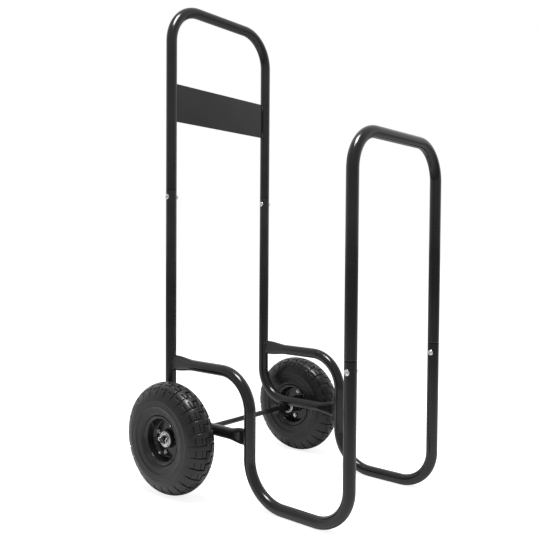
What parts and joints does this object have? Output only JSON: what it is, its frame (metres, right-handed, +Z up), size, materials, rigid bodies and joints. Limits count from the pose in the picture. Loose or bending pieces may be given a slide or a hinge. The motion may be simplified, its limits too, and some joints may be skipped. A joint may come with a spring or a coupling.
{
  "type": "fireside log cart",
  "caption": "Tall two-wheeled log cart of bent black steel tube, with a push handle, an open U-shaped log cradle and chunky pneumatic tyres on a shared axle.",
  "frame": {"origin": "on the floor, under the middle of the cart's outer box", "axes": "+Z up; +X across the cart along the axle; -Y is the front, where the log cradle is, and +Y the back, where the push handle stands"},
  "size_m": [0.5428, 0.5806, 1.1407],
  "materials": {
    "black_powder_coat": "semi-gloss black powder coat with a faint orange peel",
    "gloss_black_paint": "gloss black paint on pressed steel",
    "bright_zinc": "bright zinc plate",
    "bearing_steel": "ground bearing steel",
    "tyre_rubber": "dull black moulded tyre rubber",
    "tube_rubber": "soft black butyl rubber",
    "black_plastic": "moulded black plastic"
  },
  "bodies": {
    "frame": {"handle_hoop": "black_powder_coat", "front_hoop": "black_powder_coat", "handle_plate": "black_powder_coat", "joint_bolts": "bright_zinc", "joint_nuts": "bright_zinc", "axle": "black_powder_coat", "axle_washers": "black_powder_coat", "split_pins": "bright_zinc", "rear_leg_left": "black_powder_coat", "cradle_side_left": "black_powder_coat", "axle_sleeve_left": "black_powder_coat", "bearing_races_left": "bearing_steel", "rear_leg_right": "black_powder_coat", "cradle_side_right": "black_powder_coat", "axle_sleeve_right": "black_powder_coat", "bearing_races_right": "bearing_steel"},
    "wheel_left": {"tyre_left": "tyre_rubber", "inner_tube_left": "tube_rubber", "rim_outer_left": "gloss_black_paint", "rim_inner_left": "gloss_black_paint", "rim_bolts_left": "bright_zinc", "rim_nuts_left": "bright_zinc", "valve_stem_left": "tube_rubber", "valve_cap_left": "black_plastic", "hub_left": "gloss_black_paint", "bearing_cups_left": "bright_zinc", "bearing_balls_left": "bearing_steel"},
    "wheel_right": {"tyre_right": "tyre_rubber", "inner_tube_right": "tube_rubber", "rim_outer_right": "gloss_black_paint", "rim_inner_right": "gloss_black_paint", "rim_bolts_right": "bright_zinc", "rim_nuts_right": "bright_zinc", "valve_stem_right": "tube_rubber", "valve_cap_right": "black_plastic", "hub_right": "gloss_black_paint", "bearing_cups_right": "bright_zinc", "bearing_balls_right": "bearing_steel"}
  },
  "joints": [
    {"name": "wheel_left_spin", "type": "hinge", "parent": "frame", "child": "wheel_left", "pos_m": [-0.234, 0.16335, 0.127], "axis": [1, 0, 0], "continuous": true},
    {"name": "wheel_right_spin", "type": "hinge", "parent": "frame", "child": "wheel_right", "pos_m": [0.234, 0.16335, 0.127], "axis": [1, 0, 0], "continuous": true}
  ]
}
